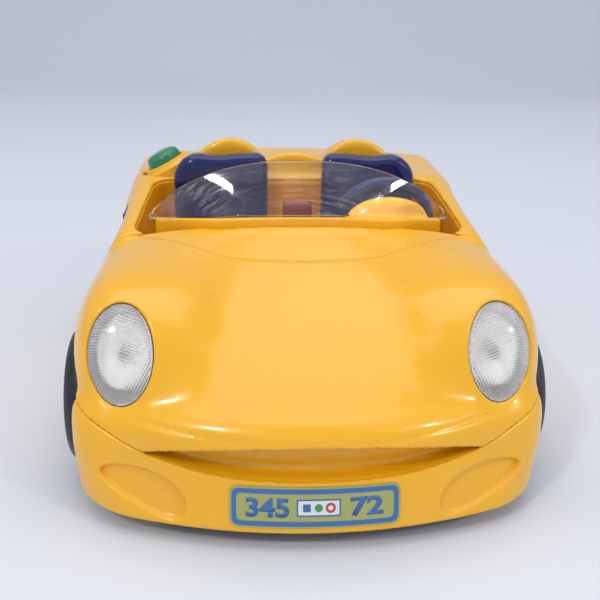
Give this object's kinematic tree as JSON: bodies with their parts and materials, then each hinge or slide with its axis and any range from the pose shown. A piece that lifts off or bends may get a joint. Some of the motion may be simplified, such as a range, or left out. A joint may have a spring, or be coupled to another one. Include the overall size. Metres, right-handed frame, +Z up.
{
  "type": "toy remote control car",
  "caption": "Toy remote control open roadster with steered front wheels, geared rear axle, two seats and a press button.",
  "frame": {"origin": "centre of the overall box in plan, on the ground under the tyres", "axes": "+Z up; the nose points along -Y; +X is the car's own left side"},
  "size_m": [0.18, 0.2769, 0.1108],
  "materials": {
    "yellow_plastic": "glossy, warm yellow",
    "navy_plastic": "glossy, navy blue",
    "red_plastic": "glossy, dark red",
    "green_plastic": "glossy, green",
    "clear_plastic": "clear, lightly scratched",
    "clear_red_plastic": "translucent red",
    "silvered_plastic": "vacuum silvered",
    "printed_label": "printed film",
    "black_plastic": "satin black",
    "grey_plastic": "satin grey",
    "white_plastic": "natural nylon",
    "steel": "plain",
    "brass": "plain",
    "circuit_board": "green laminate",
    "battery_jacket": "plain printed sleeve",
    "rubber": "satin black"
  },
  "bodies": {
    "car_body": {"battery_cell_1": "battery_jacket", "battery_cell_2": "battery_jacket", "battery_cell_3": "battery_jacket", "battery_cell_4": "battery_jacket", "battery_door": "black_plastic", "battery_door_screw": "steel", "body_screw_1": "steel", "body_screw_2": "steel", "body_screw_3": "steel", "body_screw_4": "steel", "button_boss": "yellow_plastic", "button_switch": "black_plastic", "chassis": "black_plastic", "cockpit_tray": "yellow_plastic", "dashboard": "yellow_plastic", "door_handle_left": "navy_plastic", "door_handle_right": "navy_plastic", "drive_motor": "steel", "front_bumper": "yellow_plastic", "front_clamshell": "yellow_plastic", "gearbox": "grey_plastic", "headlight_bulb_left": "clear_plastic", "headlight_bulb_right": "clear_plastic", "headlight_lens_left": "clear_plastic", "headlight_lens_right": "clear_plastic", "headlight_reflector_left": "silvered_plastic", "headlight_reflector_right": "silvered_plastic", "number_plate": "printed_label", "rear_tub": "yellow_plastic", "receiver_board": "circuit_board", "seat_left": "navy_plastic", "seat_right": "navy_plastic", "speaker": "black_plastic", "steering_motor": "black_plastic", "tail_light_left": "clear_red_plastic", "tail_light_right": "clear_red_plastic", "windscreen": "clear_plastic"},
    "knuckle_left": {"knuckle_left": "grey_plastic"},
    "knuckle_right": {"knuckle_right": "grey_plastic"},
    "tie_rod": {"tie_rod": "black_plastic"},
    "steering_horn": {"steering_horn": "white_plastic"},
    "front_wheel_left": {"tyre_front_left": "rubber", "wheel_rim_front_left": "yellow_plastic"},
    "front_wheel_right": {"tyre_front_right": "rubber", "wheel_rim_front_right": "yellow_plastic"},
    "rear_axle": {"rear_axle": "steel", "axle_gear": "white_plastic", "tyre_rear_left": "rubber", "tyre_rear_right": "rubber", "wheel_rim_rear_left": "yellow_plastic", "wheel_rim_rear_right": "yellow_plastic"},
    "idler_gear": {"idler_gear": "white_plastic"},
    "motor_pinion": {"motor_pinion": "brass"},
    "steering_wheel": {"steering_wheel": "navy_plastic", "steering_column": "black_plastic"},
    "gear_lever": {"gear_lever": "red_plastic"},
    "sound_button": {"sound_button": "green_plastic"},
    "power_switch": {"power_switch": "black_plastic"}
  },
  "joints": [
    {"name": "steer_left", "type": "hinge", "parent": "car_body", "child": "knuckle_left", "pos_m": [0.059, -0.071, 0.028], "axis": [0, 0, 1], "range_deg": [-12, 12], "stiffness_Nm_per_rad": 0.02},
    {"name": "steer_right", "type": "hinge", "parent": "car_body", "child": "knuckle_right", "pos_m": [-0.059, -0.071, 0.028], "axis": [0, 0, 1], "range_deg": [-12, 12]},
    {"name": "steering_horn_turn", "type": "hinge", "parent": "car_body", "child": "steering_horn", "pos_m": [0, -0.071, 0.028], "axis": [0, 0, 1], "range_deg": [-12, 12]},
    {"name": "tie_rod_pin", "type": "hinge", "parent": "knuckle_left", "child": "tie_rod", "pos_m": [0.059, -0.053, 0.028], "axis": [0, 0, 1], "range_deg": [-12, 12]},
    {"name": "front_wheel_left_spin", "type": "hinge", "parent": "knuckle_left", "child": "front_wheel_left", "pos_m": [0.0795, -0.071, 0.028], "axis": [1, 0, 0], "continuous": true},
    {"name": "front_wheel_right_spin", "type": "hinge", "parent": "knuckle_right", "child": "front_wheel_right", "pos_m": [-0.0795, -0.071, 0.028], "axis": [1, 0, 0], "continuous": true},
    {"name": "rear_axle_spin", "type": "hinge", "parent": "car_body", "child": "rear_axle", "pos_m": [0, 0.085, 0.028], "axis": [1, 0, 0], "continuous": true},
    {"name": "idler_spin", "type": "hinge", "parent": "car_body", "child": "idler_gear", "pos_m": [0, 0.0682, 0.028], "axis": [1, 0, 0], "continuous": true},
    {"name": "pinion_spin", "type": "hinge", "parent": "car_body", "child": "motor_pinion", "pos_m": [0, 0.053, 0.028], "axis": [1, 0, 0], "continuous": true},
    {"name": "steering_wheel_turn", "type": "hinge", "parent": "car_body", "child": "steering_wheel", "pos_m": [0.038, -0.008, 0.0805], "axis": [0, 0.9397, 0.342], "range_deg": [-90, 90]},
    {"name": "gear_lever_tilt", "type": "hinge", "parent": "car_body", "child": "gear_lever", "pos_m": [0, 0, 0.056], "axis": [1, 0, 0], "range_deg": [-12, 12]},
    {"name": "sound_button_press", "type": "slide", "parent": "car_body", "child": "sound_button", "axis": [-0.4617, 0, 0.887], "range_m": [-0.002, 0], "stiffness_N_per_m": 300, "springref_m": 0.0006},
    {"name": "power_switch_slide", "type": "slide", "parent": "car_body", "child": "power_switch", "axis": [0, 1, 0], "range_m": [-0.002, 0.002]}
  ],
  "couplings": [
    {"joint": "steer_right", "follows": "steer_left", "ratio": 1},
    {"joint": "steering_horn_turn", "follows": "steer_left", "ratio": 1},
    {"joint": "tie_rod_pin", "follows": "steer_left", "ratio": -1},
    {"joint": "idler_spin", "follows": "rear_axle_spin", "ratio": -2.5},
    {"joint": "pinion_spin", "follows": "rear_axle_spin", "ratio": 7}
  ]
}
